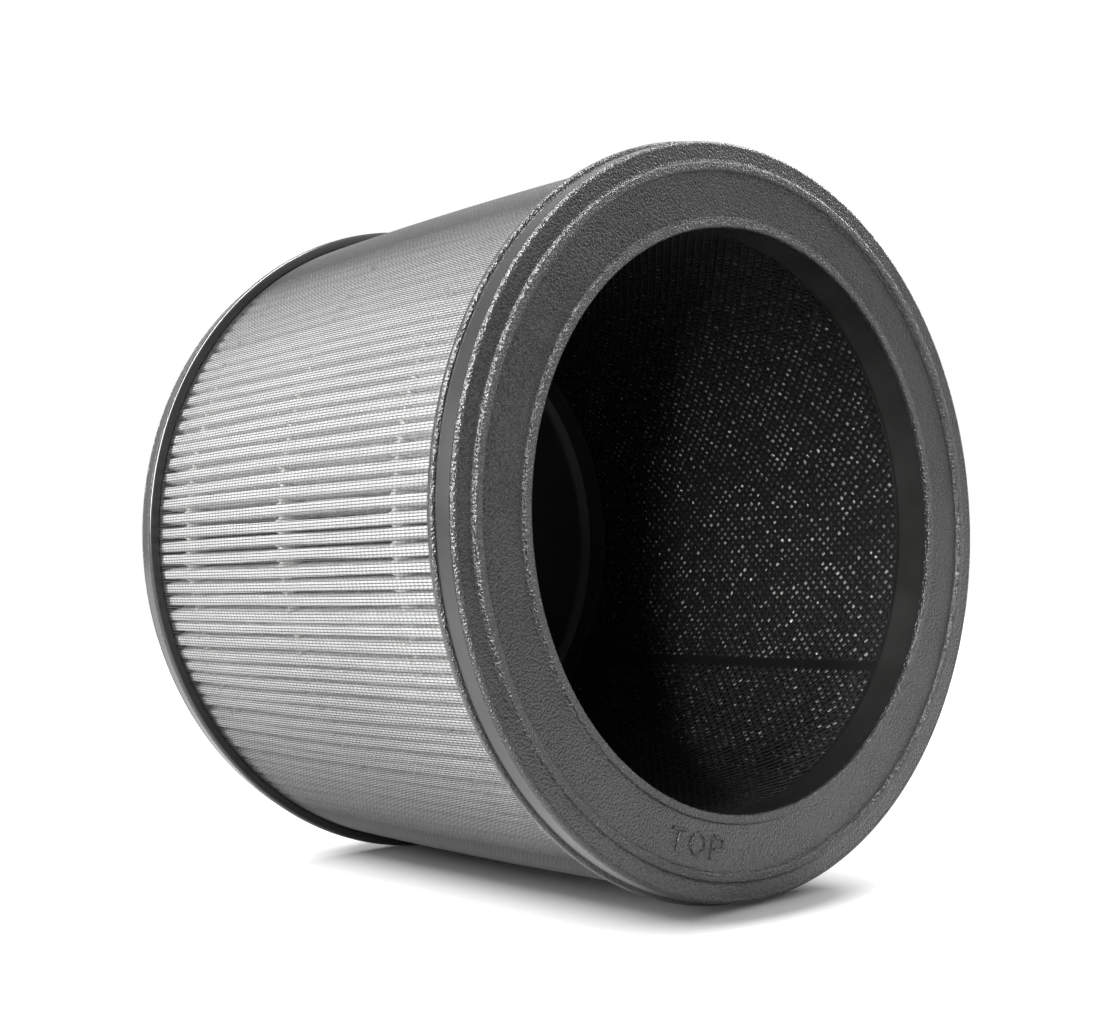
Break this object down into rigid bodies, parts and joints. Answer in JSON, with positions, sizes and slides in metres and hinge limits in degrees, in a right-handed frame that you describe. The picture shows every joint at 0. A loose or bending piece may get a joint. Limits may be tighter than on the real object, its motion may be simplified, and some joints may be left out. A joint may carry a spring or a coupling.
{
  "type": "air purifier filter",
  "caption": "Round pleated air filter with two moulded end caps, an outer net sleeve and a carbon-filled inner tube open at one end.",
  "frame": {"origin": "centre of the closed end cap's outer face, on the surface the filter stands on", "axes": "+Z along the filter's axis, from the closed cap towards the open mouth; +X points away from the place where the word on the mouth's ring is read upright"},
  "size_m": [0.175, 0.175, 0.132],
  "materials": {
    "cap_plastic": "charcoal moulded plastic with a fine leather grain on its faces and smooth edges",
    "potting": "black potting compound, smooth",
    "filter_sheet": "white fibrous filter sheet, matt",
    "glue_bead": "hot-melt adhesive, satin",
    "sleeve_thread": "fine black woven thread",
    "inner_net": "black extruded net, satin",
    "carbon": "black activated carbon granules, glinting",
    "backing_cloth": "thin spun cloth, matt"
  },
  "bodies": {
    "root": {"top_cap": "cap_plastic", "bottom_cap": "cap_plastic", "top_potting": "potting", "bottom_potting": "potting", "pleat_pack": "filter_sheet", "outer_bead_1": "glue_bead", "outer_bead_2": "glue_bead", "outer_bead_3": "glue_bead", "inner_bead_1": "glue_bead", "inner_bead_2": "glue_bead", "inner_bead_3": "glue_bead", "sleeve_net": "sleeve_thread", "inner_net": "inner_net", "carbon_bed": "carbon", "carbon_backing": "backing_cloth"}
  },
  "joints": []
}
